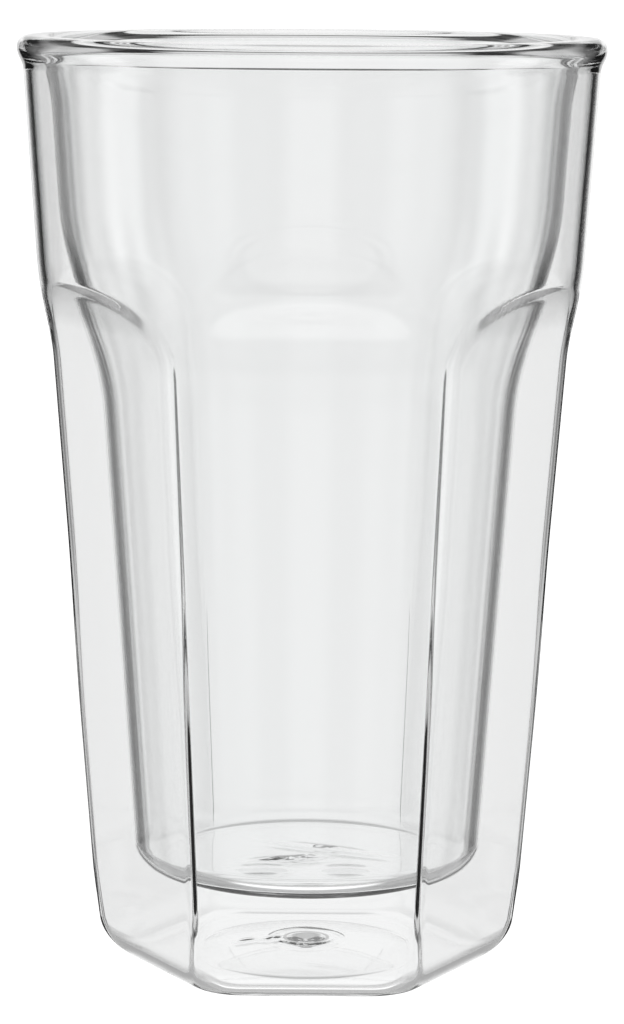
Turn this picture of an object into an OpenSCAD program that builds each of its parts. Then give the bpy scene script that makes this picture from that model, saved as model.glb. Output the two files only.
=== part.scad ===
// Double walled glass cup, blown clear glass.
// Two blown bodies share one mouth, with a closed air gap between them. The outer
// jacket is round above, turns in over a soft shoulder, and has six flat panels
// with arched tops below. The inner liner is round all the way down. The origin is
// the middle of the underside, and one panel faces the front, towards -Y.

/* [Mouth] */
// Height at which both walls end and the lip sits on them
wall_top_z = 135.2; // [115:0.1:160]
// Outer radius of the jacket where the lip sits on it
mouth_r = 42.3; // [36:0.1:50]
// Air gap between the two walls where the lip closes it
mouth_gap = 1.6; // [1:0.1:2.6]
// Height of the fused lip above the two walls
lip_h = 3.3; // [2.4:0.1:4.2]
// How far the lip stands out past the jacket's outer face
lip_overhang = 0.8; // [0.2:0.1:1.4]
// How far the lip stands in past the liner's inner face
lip_inner_overhang = 0.3; // [0:0.1:1]

/* [Outer jacket] */
// Thickness of the jacket's wall
jacket_wall = 1.1; // [0.8:0.1:1.6]
// Thickness of the jacket's floor
jacket_floor = 1.5; // [1:0.1:2.5]
// Height of the round upper part, from the lip down to the shoulder
jacket_upper_h = 28.7; // [22:0.1:34]
// How much smaller the radius is at the foot of the round upper part than at the mouth
jacket_upper_taper = 1.95; // [0.5:0.05:3]
// Height over which the shoulder turns in
jacket_shoulder_h = 16; // [10:0.5:22]
// How much smaller the radius is below the shoulder than above it
jacket_shoulder_step = 2.35; // [1.5:0.05:3.5]
// How much smaller the round body's radius is at the foot than below the shoulder
jacket_lower_taper = 6.95; // [5:0.05:7.5]
// Height above the foot of the shoulder at which a panel starts to curve out
jacket_arch_lift = 0.7; // [0:0.1:3]
// Radius of the curve that carries a panel out to its arched top
jacket_arch_r = 16; // [12:0.1:18]
// Width of the round rib left between two panels, where their arches begin
jacket_rib_top_w = 2.8; // [2:0.1:5]
// Width of the round rib left between two panels at the foot
jacket_rib_foot_w = 1.3; // [1:0.1:3]
// Radius of the rounded edge at the foot of each panel
jacket_base_r = 6; // [5:0.5:7]
// Radius of the rounded edge at the foot of each rib
jacket_corner_r = 8; // [7.5:0.5:9.5]

/* [Base] */
// Width of the flat ring under the base, from its hollow to the rounded edge of a panel
rest_ring_w = 4.2; // [3:0.1:7]
// Depth of the shallow hollow under the base, at its flat middle
punt_h = 2.2; // [1.6:0.1:3]
// Diameter of the flat land in the middle of the hollow
vent_land_d = 10; // [8:0.5:12]
// Diameter of the vent hole through the jacket's floor
vent_hole_d = 3; // [2:0.1:4]
// Diameter of the glass drop that closes the vent hole
seal_d = 7; // [6:0.1:8]
// Height of that drop below the land
seal_h = 1.2; // [0.6:0.1:1.4]
// Clearance round the drop's stem in the vent hole
seal_gap = 0.15; // [0.05:0.05:0.3]

/* [Inner liner] */
// Thickness of the liner's wall
liner_wall = 1.6; // [1.2:0.1:2]
// Thickness of the liner's floor
liner_floor = 2; // [1.4:0.1:3]
// Height of the liner's underside above the table
liner_lift = 14.6; // [9:0.1:18]
// Air gap between the walls round the upper part
upper_gap = 2.6; // [2:0.1:4]
// Air gap between the walls at the panels of the lower part
panel_gap = 2; // [1.6:0.1:4]
// Height over which the liner flares out to the lip
liner_flare_h = 7.2; // [5:0.1:12]
// How far above the jacket's shoulder the liner's shoulder starts
liner_shoulder_lift = 8; // [6.5:0.5:10]
// How far below the foot of the jacket's arches the liner's shoulder ends
liner_shoulder_drop = 7.5; // [4:0.5:9]
// Radius of the rounded edge round the liner's underside
liner_base_r = 4; // [2.5:0.5:8]

/* [Hidden] */
$fn = 96;
panel_count = 6;
// Angle of a panel's arch curve at its outer end, past the round wall
arch_end_angle = 75;
// Steps along a rounded edge, an arch curve, a shoulder, the liner's flare and the lip
edge_steps = 8;
arch_steps = 10;
shoulder_steps = 12;
flare_steps = 5;
lip_steps = 10;
// Length by which a cutting shape runs past what it cuts
overrun = 5;

// The jacket's heights and its outer sizes at them
jacket_shoulder_top_z = wall_top_z - jacket_upper_h;
jacket_shoulder_low_z = jacket_shoulder_top_z - jacket_shoulder_h;
jacket_arch_z = jacket_shoulder_low_z + jacket_arch_lift;
jacket_shoulder_r = mouth_r - jacket_upper_taper;
jacket_waist_r = jacket_shoulder_r - jacket_shoulder_step;
jacket_foot_r = jacket_waist_r - jacket_lower_taper;
jacket_panel_top = panel_place(jacket_waist_r, jacket_rib_top_w);
jacket_panel_foot = panel_place(jacket_foot_r, jacket_rib_foot_w);
// The liner's heights and its outer radius at the mouth
liner_flare_z = wall_top_z - liner_flare_h;
liner_shoulder_top_z = jacket_shoulder_top_z + liner_shoulder_lift;
liner_shoulder_low_z = jacket_arch_z - liner_shoulder_drop;
liner_mouth_r = mouth_r - jacket_wall - mouth_gap;
// Half width of the blocks that give the panels, past every outer face
reach = mouth_r + overrun;
lip_r = mouth_r + lip_overhang;
lip_inner_r = liner_mouth_r - liner_wall - lip_inner_overhang;
// Radius of the lip's rounded edges
lip_edge_r = lip_h / 2;
// Radius of the hollow under the base, and of the sphere through its rim and its middle
punt_r = jacket_panel_foot - jacket_base_r - rest_ring_w;
punt_sphere_r = (punt_r * punt_r + punt_h * punt_h) / (2 * punt_h);

// Distance from the middle to a panel's face that leaves ribs of width w on a body of radius r
function panel_place(r, w) = r * cos(180 / panel_count - asin(w / 2 / r));

// Straight line through two points, as a value at x
function line_at(x, x0, y0, x1, y1) = y0 + (y1 - y0) * (x - x0) / (x1 - x0);

// Soft step from 0 to 1
function soft(t) = (1 - cos(180 * t)) / 2;

// Outer radius of the jacket's round body, at height z
function jacket_lower(z) = line_at(z, 0, jacket_foot_r, jacket_shoulder_low_z, jacket_waist_r);
function jacket_upper(z) = line_at(z, jacket_shoulder_top_z, jacket_shoulder_r, wall_top_z, mouth_r);
function jacket_soft(z) =
    soft((z - jacket_shoulder_low_z) / (jacket_shoulder_top_z - jacket_shoulder_low_z));
function jacket_radius(z) =
    z >= jacket_shoulder_top_z ? jacket_upper(z)
    : z <= jacket_shoulder_low_z ? jacket_lower(z)
    : jacket_lower(z) + (jacket_upper(z) - jacket_lower(z)) * jacket_soft(z);

// Middle of the cup to the jacket's panel face, at height z below the arch
function jacket_panel(z) = line_at(z, 0, jacket_panel_foot, jacket_arch_z, jacket_panel_top);

// Outer radius of the liner at height z: inside the jacket by the gaps
function liner_lower(z) = jacket_panel(z) - jacket_wall - panel_gap;
function liner_upper(z) = jacket_upper(z) - jacket_wall - upper_gap;
function liner_soft(z) =
    soft((z - liner_shoulder_low_z) / (liner_shoulder_top_z - liner_shoulder_low_z));
function liner_flare(z) =
    (liner_mouth_r - liner_upper(wall_top_z)) * pow((z - liner_flare_z) / liner_flare_h, 2);
function liner_radius(z) =
    z > liner_flare_z ? liner_upper(z) + liner_flare(z)
    : z >= liner_shoulder_top_z ? liner_upper(z)
    : z <= liner_shoulder_low_z ? liner_lower(z)
    : liner_lower(z) + (liner_upper(z) - liner_lower(z)) * liner_soft(z);

// Evenly spaced heights from z0 to z1
function heights(z0, z1, steps) = [for (i = [0 : steps]) z0 + (z1 - z0) * i / steps];

// Points of a rounded base edge of radius r, from the floor at z up to a wall that
// leans out by lean and would meet the floor at distance x
function base_edge(x, z, r, lean) =
    let (cx = x + r * tan(lean) - r / cos(lean))
    [for (i = [0 : edge_steps])
        let (a = -90 + (90 - lean) * i / edge_steps)
        [cx + r * cos(a), z + r + r * sin(a)]];

// Half outline of a pair of opposite panels, inset by w from the outer faces: up from the
// floor at floor_z, along the panel, out along the arch curve and up past the top of the walls.
// x0 and x1 are the panel's places at the floor and at the height where its arch begins
function panel_side(x0, x1, arch_z, arch_r, base_r, w, floor_z) =
    let (lean = atan((x1 - x0) / (arch_z - floor_z)))
    let (cx = x1 + arch_r * cos(lean), cz = arch_z - arch_r * sin(lean))
    concat(
        base_edge(x0 - w / cos(lean), floor_z, base_r - w, lean),
        [for (i = [0 : arch_steps])
            let (a = lean + (arch_end_angle - lean) * i / arch_steps)
            [cx - (arch_r + w) * cos(a), cz + (arch_r + w) * sin(a)]],
        [[reach, cz + (arch_r + w) * sin(arch_end_angle)]],
        [[reach, wall_top_z + overrun]]);

function mirrored(points) = [for (i = [len(points) - 1 : -1 : 0]) [-points[i][0], points[i][1]]];

// Round body up to top_z, from the points of its side
module round_form(round_side, top_z) {
    rotate_extrude()
        polygon(concat([[0, round_side[0][1]]], round_side, [[0, top_z]]));
}

// The six-sided form: a round body cut back by three pairs of panels
module six_sided(round_side, panel_points, top_z) {
    intersection() {
        round_form(round_side, top_z);
        intersection_for (i = [0 : panel_count / 2 - 1])
            rotate([0, 0, 360 * i / panel_count])
                rotate([90, 0, 90])
                    linear_extrude(height = 2 * reach, center = true)
                        polygon(concat(panel_points, mirrored(panel_points)));
    }
}

// Side of the jacket's round body, inset by w, from a floor at floor_z up to top_z
function jacket_side(w, floor_z, top_z) =
    let (lean = atan(jacket_lower_taper / jacket_shoulder_low_z))
    concat(
        base_edge(jacket_lower(floor_z) - w, floor_z, jacket_corner_r - w, lean),
        [for (z = heights(jacket_shoulder_low_z, jacket_shoulder_top_z, shoulder_steps))
            [jacket_radius(z) - w, z]],
        [[jacket_upper(top_z) - w, top_z]]);

// Side of the liner's round body, inset by w, from a floor at floor_z up to top_z
function liner_side(w, floor_z, top_z) =
    let (lean = atan((jacket_panel_top - jacket_panel_foot) / jacket_arch_z))
    concat(
        base_edge(liner_lower(floor_z) - w, floor_z, liner_base_r - w, lean),
        [for (z = heights(liner_shoulder_low_z, liner_shoulder_top_z, shoulder_steps))
            [liner_radius(z) - w, z]],
        [for (z = heights(liner_flare_z, top_z, flare_steps)) [liner_radius(z) - w, z]]);

// The jacket's form, inset by w, standing on a floor at floor_z
module jacket_form(w, floor_z, top_z) {
    six_sided(
        jacket_side(w, floor_z, top_z),
        panel_side(jacket_panel(floor_z), jacket_panel_top, jacket_arch_z, jacket_arch_r,
            jacket_base_r, w, floor_z),
        top_z);
}

// The liner's form, inset by w, standing on a floor at floor_z
module liner_form(w, floor_z, top_z) {
    round_form(liner_side(w, floor_z, top_z), top_z);
}

// Shallow dome under the base, grown by w, with its flat land in the middle
module punt(w) {
    intersection() {
        translate([0, 0, punt_h - punt_sphere_r])
            sphere(r = punt_sphere_r + w);
        translate([0, 0, -overrun])
            cylinder(r = punt_r + overrun, h = 2 * overrun + punt_h);
    }
}

// Outer blown body: wall, floor, hollowed underside and vent hole
module outer_jacket() {
    color([0.86, 0.9, 0.9, 0.35])
        difference() {
            jacket_form(0, 0, wall_top_z);
            difference() {
                jacket_form(jacket_wall, jacket_floor, wall_top_z + overrun);
                punt(jacket_floor);
            }
            punt(0);
            cylinder(d = vent_land_d, h = punt_h);
            cylinder(d = vent_hole_d, h = punt_h + jacket_floor + overrun);
        }
}

// Inner blown body: the well that holds the drink
module inner_liner() {
    color([0.8, 0.87, 0.88, 0.35])
        difference() {
            liner_form(0, liner_lift, wall_top_z);
            liner_form(liner_wall, liner_lift + liner_floor, wall_top_z + overrun);
        }
}

// Points of the lip's section: a flat seat that is flush with both walls, and rounded edges
function lip_section() =
    let (outer_x = lip_r - lip_edge_r, inner_x = lip_inner_r + lip_edge_r)
    let (outer_a = -acos((mouth_r - outer_x) / lip_edge_r))
    let (inner_a = 360 - acos((liner_mouth_r - liner_wall - inner_x) / lip_edge_r))
    concat(
        [[liner_mouth_r - liner_wall, 0], [mouth_r, 0]],
        [for (i = [0 : lip_steps])
            let (a = outer_a + (90 - outer_a) * i / lip_steps)
            [outer_x + lip_edge_r * cos(a), lip_edge_r + lip_edge_r * sin(a)]],
        [for (i = [0 : lip_steps])
            let (a = 90 + (inner_a - 90) * i / lip_steps)
            [inner_x + lip_edge_r * cos(a), lip_edge_r + lip_edge_r * sin(a)]]);

// Fused lip that joins both walls
module rim_bead() {
    color([0.75, 0.83, 0.85, 0.5])
        translate([0, 0, wall_top_z])
            rotate_extrude()
                polygon(lip_section());
}

// Glass drop that closes the vent: a stem in the hole and a low dome below the land
module vent_seal() {
    seal_sphere_r = (seal_d * seal_d / 4 + seal_h * seal_h) / (2 * seal_h);
    color([0.7, 0.8, 0.82, 0.5]) {
        intersection() {
            translate([0, 0, punt_h - seal_h + seal_sphere_r])
                sphere(r = seal_sphere_r);
            translate([0, 0, punt_h - seal_h])
                cylinder(d = seal_d, h = seal_h);
        }
        translate([0, 0, punt_h])
            cylinder(d = vent_hole_d - 2 * seal_gap, h = jacket_floor);
    }
}

outer_jacket();
inner_liner();
rim_bead();
vent_seal();
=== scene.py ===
import math

import bpy
from mathutils import Matrix


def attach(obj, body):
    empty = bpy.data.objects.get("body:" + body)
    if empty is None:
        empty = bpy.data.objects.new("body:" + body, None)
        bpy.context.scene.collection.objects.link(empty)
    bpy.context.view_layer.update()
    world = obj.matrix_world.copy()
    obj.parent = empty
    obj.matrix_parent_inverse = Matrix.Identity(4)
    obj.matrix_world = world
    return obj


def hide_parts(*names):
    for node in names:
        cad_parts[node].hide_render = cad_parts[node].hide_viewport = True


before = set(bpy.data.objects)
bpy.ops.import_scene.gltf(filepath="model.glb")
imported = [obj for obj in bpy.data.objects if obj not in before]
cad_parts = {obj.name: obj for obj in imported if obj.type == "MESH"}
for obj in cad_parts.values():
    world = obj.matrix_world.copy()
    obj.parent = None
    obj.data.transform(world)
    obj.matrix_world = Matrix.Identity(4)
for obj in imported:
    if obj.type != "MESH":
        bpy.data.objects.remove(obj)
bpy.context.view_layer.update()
bpy.ops.object.select_all(action="DESELECT")

# Outer jacket. One blown body of clear glass, 1.1 mm thick: round below the mouth, turned in over a
# soft shoulder, pressed into six flat panels with arched tops by the mould, rounded at the foot and
# pushed up a little under the base, with the vent hole left open in the middle.

GLASS_TOP = 0.1352
MOUTH_R = 0.0423
JACKET_WALL = 0.0011
# how round the foot is below a panel, and below a rib between two panels
JACKET_BASE_R, JACKET_CORNER_R = 0.006, 0.008
REST_RING_R = 0.0170
REST_RINGS = (REST_RING_R, 0.0178, 0.0195, 0.0213)
PUNT_H = 0.0022
HOLLOW_FROM, HOLLOW_TO = 0.0058, 0.0166
VENT_LAND_R = 0.0055
VENT_R = 0.0015
SEAL_R = 0.0035
SHOULDER_TOP, SHOULDER_LOW = 0.1065, 0.0905
SHOULDER_R, WAIST_R, FOOT_R = 0.04035, 0.038, 0.03105
JACKET_SIDE_FROM = 0.009
ARCHES_FROM, ARCHES_TO = 0.086, 0.108
JACKET_ARCH_Z, JACKET_ARCH_R = 0.0912, 0.016
JACKET_PANEL_TOP, JACKET_PANEL_FOOT = 0.0336, 0.0272
PANELS = 6
PRESSED_FROM = REST_RING_R + 0.0003
ARCH_EDGE = 0.0012
RIB_PROUD, RIB_FADE_FROM, RIB_FADE_H = 0.0006, 0.066, 0.03
# the ribs' edge, and what is added to it towards the foot: how much, from which height, over how much
RIB_EDGE = 0.0003
RIB_SOFTENED = ((0.002, 0.015, 0.009), (0.001, 0.006, 0.006))
# how much closer the mesh lines stand at the ribs, and the radius over which that sets in
GATHERED, GATHER_OVER = 0.12, 0.003
# the lip swells out of the wall below it, from the first height to the second
LIP_SWELL, SWELL_LOW, SWELL_TOP = 0.0007, 0.1337, 0.1365
# a wall leans out over its foot, so the foot turns up by less than a quarter turn
FOOT_TURN = math.radians(86)
FLOOR_R, FLOOR_LEVEL = 0.016, 0.7
# each streak has its place, half its length and width, its turn and its height
BASE_SWIRL = (
    (-0.0091, -0.0004, 0.0016, 0.0009, 0.1, 0.00014),
    (-0.0049, -0.0009, 0.0020, 0.0008, -0.1, 0.00013),
    (-0.0017, 0.0035, 0.0022, 0.0012, 0.5, 0.00018))
ROUND_STEPS = 288
# points that are closer than this are one
CLOSE = 0.00001
GLASS_IOR = 1.47
CLEAREST = (0.998, 0.999, 0.999)
RIPPLE = 0.00002


def on_line(x, x0, y0, x1, y1):
    return y0 + (y1 - y0) * (x - x0) / (x1 - x0)


def ease(t):
    """Goes softly from 0 to 1 while t does."""
    t = min(1.0, max(0.0, t))
    return (1 - math.cos(math.pi * t)) / 2


def even(low, high, count):
    """Evenly spread values from low up to high, without high itself."""
    return [low + (high - low) * i / count for i in range(count)]


def round_jacket(z):
    """Radius of the round jacket, before the panels are pressed."""
    below = on_line(z, 0, FOOT_R, SHOULDER_LOW, WAIST_R)
    above = on_line(z, SHOULDER_TOP, SHOULDER_R, GLASS_TOP, MOUTH_R)
    turned = below + (above - below) * ease((z - SHOULDER_LOW) / (SHOULDER_TOP - SHOULDER_LOW))
    return turned + LIP_SWELL * ease((z - SWELL_LOW) / (SWELL_TOP - SWELL_LOW))


def jacket_plate(z):
    """Distance of a mould plate from the middle: straight up to the arch, then curving out."""
    if z <= JACKET_ARCH_Z:
        return on_line(z, 0, JACKET_PANEL_FOOT, JACKET_ARCH_Z, JACKET_PANEL_TOP)
    lean = math.atan((JACKET_PANEL_TOP - JACKET_PANEL_FOOT) / JACKET_ARCH_Z)
    centre_x = JACKET_PANEL_TOP + JACKET_ARCH_R * math.cos(lean)
    centre_z = JACKET_ARCH_Z - JACKET_ARCH_R * math.sin(lean)
    steepest = math.radians(80)
    rise = z - centre_z
    if rise < JACKET_ARCH_R * math.sin(steepest):
        return centre_x - math.sqrt(JACKET_ARCH_R ** 2 - rise ** 2)
    past = rise - JACKET_ARCH_R * math.sin(steepest)
    return centre_x - JACKET_ARCH_R * math.cos(steepest) + past * math.tan(steepest)


def draw_section(name, points):
    """Half section of a blown body, drawn as one line of (radius, height) points."""
    bpy.ops.object.select_all(action="DESELECT")
    bpy.ops.mesh.primitive_plane_add(size=0.001, location=(points[0][0], 0, points[0][1]))
    body = bpy.context.object
    body.name = body.data.name = name
    bpy.ops.object.transform_apply(location=True, rotation=True, scale=True)
    bpy.ops.object.mode_set(mode="EDIT")
    bpy.ops.mesh.select_all(action="SELECT")
    bpy.ops.mesh.merge(type="CENTER")
    for (r0, z0), (r1, z1) in zip(points, points[1:]):
        bpy.ops.mesh.extrude_vertices_move(TRANSFORM_OT_translate={"value": (r1 - r0, 0, z1 - z0)})
    return body


def turn_section():
    """Turns the drawn section into a round body and closes its seam and its pole."""
    bpy.ops.mesh.select_all(action="SELECT")
    bpy.ops.mesh.spin(steps=ROUND_STEPS, angle=2 * math.pi, center=(0, 0, 0), axis=(0, 0, 1))
    bpy.ops.mesh.select_all(action="SELECT")
    bpy.ops.mesh.remove_doubles(threshold=CLOSE)
    bpy.ops.mesh.normals_make_consistent(inside=False)
    bpy.ops.object.mode_set(mode="OBJECT")
    # an open skin can come out inside out, so its outermost face is looked at
    body = bpy.context.object
    if max(body.data.polygons, key=lambda face: face.center.x).normal.x < 0:
        body.data.flip_normals()


def softer(a, b, width):
    """The smaller of two distances, with their crossing rounded off over a width."""
    overlap = max(width - abs(a - b), 0.0)
    return min(a, b) - overlap * overlap / (4 * width)


def rib_softness(z):
    """How far a rib between two panels is rounded off: crisp, and softer towards the foot."""
    edge = RIB_EDGE
    for added, height, over in RIB_SOFTENED:
        edge += added * ease((height - z) / over)
    return edge


def press_panels(body):
    """Presses the six panels into the round jacket, as the mould does. The arches over them have a
    rounded edge, and each panel turns in to the base over its own rounded foot."""
    step = 2 * math.pi / PANELS
    for v in body.data.vertices:
        x, y, z = v.co
        r = math.hypot(x, y)
        if r < PRESSED_FROM:
            continue
        turn = math.atan2(x, -y)
        off = (turn + step / 2) % step - step / 2
        # more of the mesh lines gather at the ribs
        slide = off + GATHERED * math.sin(PANELS * off) * min(1.0, (r - PRESSED_FROM) / GATHER_OVER)
        turn += slide - off
        height = max(z, 0)
        edge = max(JACKET_BASE_R - height, 0)
        across = jacket_plate(height) - JACKET_BASE_R + math.sqrt(JACKET_BASE_R ** 2 - edge ** 2)
        near = across / math.cos(slide)
        far = across / math.cos(step - abs(slide))
        flats = softer(near, far, rib_softness(z))
        # below the arches the ribs stand a little proud of the round body
        proud_r = r + RIB_PROUD * ease((RIB_FADE_FROM - z) / RIB_FADE_H)
        pressed = softer(flats, proud_r, ARCH_EDGE)
        if z < CLOSE:
            # the flat under the base keeps its rings evenly spread
            edge_r = FOOT_R - JACKET_CORNER_R
            pressed_edge = softer(flats, edge_r, ARCH_EDGE)
            pressed = on_line(r, PRESSED_FROM, PRESSED_FROM, edge_r, pressed_edge)
        v.co = (pressed * math.sin(turn), -pressed * math.cos(turn), z)


def smooth_over(body):
    """Shades a body smooth, apart from its sharp edges."""
    bpy.ops.object.select_all(action="DESELECT")
    body.select_set(True)
    bpy.ops.object.shade_smooth_by_angle(angle=math.radians(50))


def give_wall(body, thickness, straight_from):
    """Thickens the skin inwards to the wall of the glass. Above a height it goes straight to the
    middle, which leaves a flat top for the lip."""
    skin = len(body.data.vertices)
    bpy.context.view_layer.objects.active = body
    wall = body.modifiers.new("wall", "SOLIDIFY")
    wall.thickness = thickness
    wall.offset = -1
    wall.use_even_offset = True
    wall.use_quality_normals = True
    bpy.ops.object.modifier_apply(modifier=wall.name)
    for outer, inner in zip(body.data.vertices[:skin], body.data.vertices[skin:]):
        x, y, z = outer.co
        if z > straight_from:
            share = 1 - thickness / math.hypot(x, y)
            inner.co = (x * share, y * share, z)
    smooth_over(body)


def stir_floor(body, streaks):
    """The last twist of the molten glass leaves shallow streaks in the top of a floor."""
    for v in body.data.vertices:
        x, y, z = v.co
        if math.hypot(x, y) > FLOOR_R or v.normal.z < FLOOR_LEVEL or z > SHOULDER_LOW:
            continue
        for at_x, at_y, long_r, short_r, turn, rise in streaks:
            along = ((x - at_x) * math.cos(turn) + (y - at_y) * math.sin(turn)) / long_r
            across = ((y - at_y) * math.cos(turn) - (x - at_x) * math.sin(turn)) / short_r
            v.co.z += rise * math.exp(-along ** 2 - across ** 2)


def clear_glass(name, tint, ripple, grain):
    """Blown borosilicate glass: clear, faintly uneven in colour, with the slow ripple of the mould."""
    glass = bpy.data.materials.new(name)
    glass.use_nodes = True
    nodes, links = glass.node_tree.nodes, glass.node_tree.links
    shader = nodes["Principled BSDF"]
    shader.inputs["Roughness"].default_value = 0.0
    shader.inputs["IOR"].default_value = GLASS_IOR
    shader.inputs["Transmission Weight"].default_value = 1.0
    place = nodes.new("ShaderNodeTexCoord")
    drawn = nodes.new("ShaderNodeMapping")
    drawn.inputs["Scale"].default_value = (1.0, 1.0, 0.25)
    links.new(place.outputs["Object"], drawn.inputs["Vector"])
    streaks = nodes.new("ShaderNodeTexNoise")
    streaks.inputs["Scale"].default_value = grain
    streaks.inputs["Detail"].default_value = 1.5
    links.new(drawn.outputs["Vector"], streaks.inputs["Vector"])
    shade = nodes.new("ShaderNodeValToRGB")
    shade.color_ramp.elements[0].color = (*tint, 1)
    shade.color_ramp.elements[1].color = (*CLEAREST, 1)
    links.new(streaks.outputs["Fac"], shade.inputs["Fac"])
    links.new(shade.outputs["Color"], shader.inputs["Base Color"])
    rise = nodes.new("ShaderNodeBump")
    rise.inputs["Strength"].default_value = 1.0
    rise.inputs["Distance"].default_value = ripple
    links.new(streaks.outputs["Fac"], rise.inputs["Height"])
    links.new(rise.outputs["Normal"], shader.inputs["Normal"])
    return glass


def fused_seam(name):
    """Where two bodies are fused there is no surface, so light goes straight on."""
    seam = bpy.data.materials.new(name)
    seam.use_nodes = True
    nodes, links = seam.node_tree.nodes, seam.node_tree.links
    nodes.remove(nodes["Principled BSDF"])
    clear = nodes.new("ShaderNodeBsdfTransparent")
    links.new(clear.outputs["BSDF"], nodes["Material Output"].inputs["Surface"])
    return seam


def mark_seam(body, seam, belongs):
    """Gives the fused faces of a body the seam's finish."""
    body.data.materials.append(seam)
    for face in body.data.polygons:
        if belongs(face):
            face.material_index = 1
            face.use_smooth = False


jacket_section = [(r, PUNT_H) for r in even(VENT_R, SEAL_R, 3) + even(SEAL_R, VENT_LAND_R, 3)]
punt_sphere_r = (REST_RING_R ** 2 + PUNT_H ** 2) / (2 * PUNT_H)
for r in even(HOLLOW_FROM, HOLLOW_TO, 18):
    jacket_section.append((r, PUNT_H - punt_sphere_r + math.sqrt(punt_sphere_r ** 2 - r ** 2)))
jacket_section += [(r, 0) for r in REST_RINGS]
for i in range(19):
    a = FOOT_TURN * i / 18
    z = JACKET_CORNER_R * (1 - math.cos(a))
    jacket_section.append((round_jacket(z) - JACKET_CORNER_R * (1 - math.sin(a)), z))
# the rings stand closest together at the arches
jacket_rings = even(JACKET_SIDE_FROM, ARCHES_FROM, 31) + even(ARCHES_FROM, ARCHES_TO, 62)
jacket_rings += even(ARCHES_TO, SWELL_LOW, 12) + even(SWELL_LOW, GLASS_TOP, 6) + [GLASS_TOP]
jacket_section += [(round_jacket(z), z) for z in jacket_rings]

outer_jacket = draw_section("jacket_glass_body", jacket_section)
turn_section()
press_panels(outer_jacket)
give_wall(outer_jacket, JACKET_WALL, straight_from=SWELL_LOW)
stir_floor(outer_jacket, BASE_SWIRL)
jacket_glass = clear_glass("jacket_glass", tint=(0.985, 0.99, 0.99), ripple=RIPPLE, grain=60)
outer_jacket.data.materials.append(jacket_glass)
seam_glass = fused_seam("fused_seam")


def fused_in_jacket(face):
    """The top, which meets the lip, and the wall and underside of the vent hole, which meet the seal."""
    r = math.hypot(face.center.x, face.center.y)
    at_vent = r < VENT_R + CLOSE or (r < SEAL_R and face.normal.z < -0.9)
    return face.center.z > GLASS_TOP - CLOSE or at_vent


mark_seam(outer_jacket, seam_glass, fused_in_jacket)
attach(outer_jacket, "root")
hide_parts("outer_jacket")

# Inner liner. The second blown body of the same clear glass, 1.6 mm thick: the well that holds the
# drink. It is round all the way down, narrows over a long soft shoulder, flares out to the mouth at
# the top and hangs free of the jacket below it, over a closed air gap.

LINER_WALL = 0.0016
LINER_BASE_R = 0.004
LINER_BASE_Z = 0.0146
LINER_FLAT_FROM, LINER_FLAT_TO = 0.0008, 0.0195
LINER_SIDE_FROM = 0.0192
LINER_BEND_FROM, LINER_BEND_TO = 0.082, 0.116
LINER_SHOULDER_TOP, LINER_SHOULDER_LOW = 0.1145, 0.083
LINER_MOUTH_R = 0.0396
FLARE_Z = 0.128
# how far inside the jacket's round wall it hangs at the top, and inside the panels below
UPPER_INSET, PANEL_INSET = 0.0037, 0.0031
WELL_SWIRL = (
    (0.0031, 0.0034, 0.0070, 0.0014, -0.45, 0.00036),
    (-0.0031, -0.0034, 0.0048, 0.0014, 0.25, 0.00042),
    (-0.0066, -0.0094, 0.0034, 0.0022, 0.0, 0.00036),
    (0.0058, -0.0096, 0.0032, 0.0022, 0.0, 0.00036))


def round_liner(z):
    """Radius of the liner: inside the jacket's panels below, and inside its round wall above."""
    below = on_line(z, 0, JACKET_PANEL_FOOT, JACKET_ARCH_Z, JACKET_PANEL_TOP) - PANEL_INSET
    above = on_line(z, SHOULDER_TOP, SHOULDER_R, GLASS_TOP, MOUTH_R) - UPPER_INSET
    turned = ease((z - LINER_SHOULDER_LOW) / (LINER_SHOULDER_TOP - LINER_SHOULDER_LOW))
    flare = max(0.0, (z - FLARE_Z) / (GLASS_TOP - FLARE_Z)) ** 2
    return below + (above - below) * turned + flare * (LINER_MOUTH_R - MOUTH_R + UPPER_INSET)


liner_section = [(0, LINER_BASE_Z)]
liner_section += [(r, LINER_BASE_Z) for r in even(LINER_FLAT_FROM, LINER_FLAT_TO, 22)]
for i in range(15):
    a = FOOT_TURN * i / 14
    z = LINER_BASE_Z + LINER_BASE_R * (1 - math.cos(a))
    liner_section.append((round_liner(z) - LINER_BASE_R * (1 - math.sin(a)), z))
liner_rings = even(LINER_SIDE_FROM, LINER_BEND_FROM, 20) + even(LINER_BEND_FROM, LINER_BEND_TO, 44)
liner_rings += even(LINER_BEND_TO, GLASS_TOP, 16) + [GLASS_TOP]
liner_section += [(round_liner(z), z) for z in liner_rings]

inner_liner = draw_section("liner_glass_body", liner_section)
turn_section()
give_wall(inner_liner, LINER_WALL, straight_from=FLARE_Z)
stir_floor(inner_liner, WELL_SWIRL)
liner_glass = clear_glass("liner_glass", tint=(0.985, 0.99, 0.99), ripple=RIPPLE, grain=45)
inner_liner.data.materials.append(liner_glass)
mark_seam(inner_liner, seam_glass, lambda face: face.center.z > GLASS_TOP - CLOSE)
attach(inner_liner, "root")
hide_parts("inner_liner")

# Lip. The two walls are melted together in the flame at the mouth, which leaves one thick, rounded
# ring of the same glass that sits on both and closes the gap between them.

LIP_H = 0.0033
LIP_R = 0.0431
LIP_INNER_R = 0.0377
GAP_RISE = 0.0011

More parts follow.
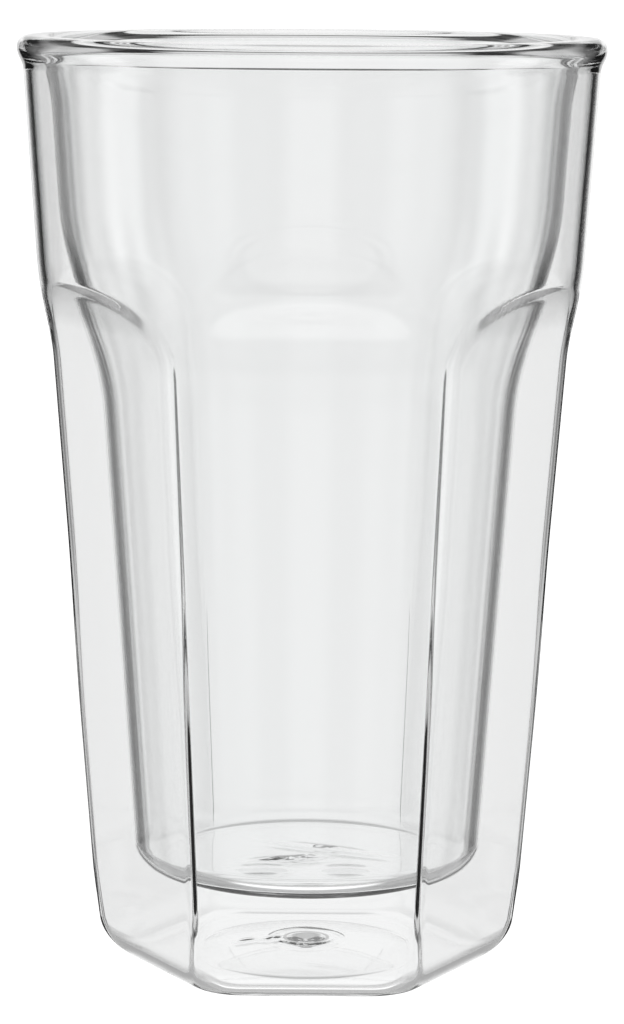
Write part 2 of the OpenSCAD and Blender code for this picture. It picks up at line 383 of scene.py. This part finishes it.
half = LIP_H / 2
lip_outer, lip_inner = LIP_R - half, LIP_INNER_R + half
inner_foot = 2 * math.pi - math.acos((LINER_MOUTH_R - LINER_WALL - lip_inner) / half)
wall_r = round_jacket(GLASS_TOP)
lip_section = [(round_jacket(GLASS_TOP + half * i / 6), half * i / 6) for i in range(6)]
for i in range(13):
    a = math.pi / 2 * i / 12
    lip_section.append((lip_outer + half * math.cos(a), half + half * math.sin(a)))
for i in range(1, 17):
    a = math.pi / 2 + (inner_foot - math.pi / 2) * i / 16
    lip_section.append((lip_inner + half * math.cos(a), half + half * math.sin(a)))
# between the walls the gap runs up into the lip and ends in a round arch
gap_half = (wall_r - JACKET_WALL - LINER_MOUTH_R) / 2
lip_section.append((LINER_MOUTH_R, 0))
for i in range(13):
    a = math.pi * i / 12
    gap_r = LINER_MOUTH_R + gap_half * (1 - math.cos(a))
    lip_section.append((gap_r, GAP_RISE + gap_half * math.sin(a)))
lip_section += [(wall_r - JACKET_WALL, 0), (wall_r, 0)]

rim_bead = draw_section("lip_ring", [(r, GLASS_TOP + h) for r, h in lip_section])
turn_section()
smooth_over(rim_bead)
lip_glass = clear_glass("lip_glass", tint=(0.98, 0.987, 0.987), ripple=RIPPLE, grain=80)
rim_bead.data.materials.append(lip_glass)


def over_a_wall(face):
    """The two bands of the lip's underside that are fused to the walls, and not the gap between."""
    r = math.hypot(face.center.x, face.center.y)
    low = face.center.z < GLASS_TOP + CLOSE
    return low and (r < LINER_MOUTH_R or r > wall_r - JACKET_WALL)


mark_seam(rim_bead, seam_glass, over_a_wall)
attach(rim_bead, "root")
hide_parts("rim_bead")

# Vent seal. While the lip is fused the gap breathes through a hole in the middle of the jacket's
# base; afterwards a drop of glass is melted into it, which leaves a low round dome under the base.

SEAL_H = 0.0012
# the room left between the drop and the glass round it, so that no two faces lie in one place
HAIR = 0.00002
COLLAR_R = 0.0024
STEM_R, STEM_TOP = VENT_R - HAIR, PUNT_H + JACKET_WALL
SEAL_TOP = PUNT_H - HAIR
DROP_CURVE = 1.6

# the drop hangs deepest in the middle and runs out softly at its edge
seal_section = []
for i in range(15):
    r = SEAL_R * i / 14
    seal_section.append((r, SEAL_TOP - (SEAL_H - HAIR) * ease(1 - r / SEAL_R) ** DROP_CURVE))
seal_section += [(COLLAR_R, SEAL_TOP), (STEM_R, SEAL_TOP), (STEM_R, STEM_TOP)]
seal_section += [(STEM_R * 0.5, STEM_TOP), (0, STEM_TOP)]

vent_seal = draw_section("vent_drop", seal_section)
turn_section()
smooth_over(vent_seal)
seal_glass = clear_glass("seal_glass", tint=(0.97, 0.98, 0.98), ripple=0.00003, grain=300)
vent_seal.data.materials.append(seal_glass)


def fused_in_vent(face):
    """The stem's side, and the collar under the rim of the hole."""
    return abs(face.normal.z) < 0.1 or abs(face.center.z - PUNT_H) < 1.5 * HAIR


mark_seam(vent_seal, seam_glass, fused_in_vent)
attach(vent_seal, "root")
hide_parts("vent_seal")

# Table and light. Clear glass shows by what is round it: a pale table, white walls on all sides with
# dark gaps between them, which draw the edges, and soft light from above and below.

TABLE_LIGHT = 1.2
ROOM_LIGHT, DARKEST = 1.25, 0.03
# degrees to either side of straight behind the cup, and how bright the walls are there
WALLS_ROUND = (
    (16.5, 0.74), (19.5, 0.0), (34, 0.0), (44, 0.45), (61, 0.45), (67, 0.0), (70, 0.0), (77, 0.85),
    (94, 0.85), (100, 0.0), (109, 0.0), (116, 0.42), (143, 0.48), (149, 0.36), (165, 0.36), (171, 0.49))
# height of the direction, 0 straight down and 1 straight up, and the brightness there
WALLS_HIGH = ((0.34, 0), (0.37, 1), (0.72, 1), (0.75, 0))
LIGHT_BELOW = ((0.14, 0.95), (0.17, 0.35), (0.34, 0.3), (0.37, 0))
LIGHT_ABOVE = ((0.8, 0), (0.84, 0.55))

bpy.ops.object.select_all(action="DESELECT")
bpy.ops.mesh.primitive_plane_add(size=30, location=(0, 0, -0.0002))
table = bpy.context.object
table.name = "pale_table"
pale = bpy.data.materials.new("pale_table")
pale.use_nodes = True
pale_shader = pale.node_tree.nodes["Principled BSDF"]
pale_shader.inputs["Base Color"].default_value = (0.0, 0.0, 0.0, 1)
pale_shader.inputs["Specular IOR Level"].default_value = 0.0
pale_shader.inputs["Emission Color"].default_value = (1, 1, 1, 1)
pale_shader.inputs["Emission Strength"].default_value = TABLE_LIGHT
table.data.materials.append(pale)
table.visible_transmission = False
table.visible_glossy = False
table.visible_diffuse = False

scene = bpy.context.scene
studio = bpy.data.worlds.new("studio")
scene.world = studio
studio.use_nodes = True
nodes, links = studio.node_tree.nodes, studio.node_tree.links
light = nodes["Background"]
light.inputs["Color"].default_value = (1, 1, 1, 1)
look = nodes.new("ShaderNodeTexCoord")
look_parts = nodes.new("ShaderNodeSeparateXYZ")
links.new(look.outputs["Generated"], look_parts.inputs["Vector"])


def work_out(operation, *values):
    """One step of sums on numbers or on other steps."""
    n = nodes.new("ShaderNodeMath")
    n.operation = operation
    for socket, value in zip(n.inputs, values):
        if isinstance(value, (int, float)):
            socket.default_value = value
        else:
            links.new(value, socket)
    return n.outputs["Value"]


def brightness(value, stops):
    """Brightness along a value from 0 to 1, with a straight run from each stop to the next."""
    n = nodes.new("ShaderNodeValToRGB")
    ramp = n.color_ramp
    while len(ramp.elements) < len(stops):
        ramp.elements.new(0.5)
    for element, (at, level) in zip(ramp.elements, stops):
        element.position = at
        element.color = (level, level, level, 1)
    links.new(value, n.inputs["Fac"])
    return n.outputs["Color"]


# share of a half turn from straight behind the cup
bearing = work_out("ARCTAN2", look_parts.outputs["X"], look_parts.outputs["Y"])
turned = work_out("DIVIDE", work_out("ABSOLUTE", bearing), math.pi)
around = brightness(turned, [(degrees / 180, level) for degrees, level in WALLS_ROUND])
climb = work_out("ARCSINE", look_parts.outputs["Z"])
height = work_out("ADD", work_out("DIVIDE", climb, math.pi), 0.5)
walls = work_out("MULTIPLY", around, brightness(height, WALLS_HIGH))
rest = work_out("ADD", brightness(height, LIGHT_BELOW), brightness(height, LIGHT_ABOVE))
total = work_out("ADD", walls, rest)
links.new(work_out("MULTIPLY_ADD", total, ROOM_LIGHT, DARKEST), light.inputs["Strength"])

# Camera, at the place from which the photograph was taken: a little above the rim, looking down.

CAMERA_AT = (0, -0.560, 0.15417)
DOWN_DEGREES, ROLL_DEGREES = 8.737, 0.4
SENSOR_WIDTH = 36
# in pixels of the photograph
PHOTO_HEIGHT, FOCAL_LENGTH, OFF_CENTRE = 1024, 3802.5, 3

eye = bpy.data.cameras.new("camera")
eye.sensor_width = SENSOR_WIDTH
eye.lens = FOCAL_LENGTH / PHOTO_HEIGHT * SENSOR_WIDTH
eye.shift_x = OFF_CENTRE / PHOTO_HEIGHT
eye.clip_start = 0.01
camera = bpy.data.objects.new("camera", eye)
scene.collection.objects.link(camera)
camera.matrix_world = (Matrix.Translation(CAMERA_AT)
                       @ Matrix.Rotation(math.radians(90 - DOWN_DEGREES), 4, "X")
                       @ Matrix.Rotation(math.radians(ROLL_DEGREES), 4, "Z"))
scene.camera = camera
scene.view_settings.view_transform = "Standard"
scene.cycles.max_bounces = 24
scene.cycles.transmission_bounces = 24
scene.cycles.glossy_bounces = 8
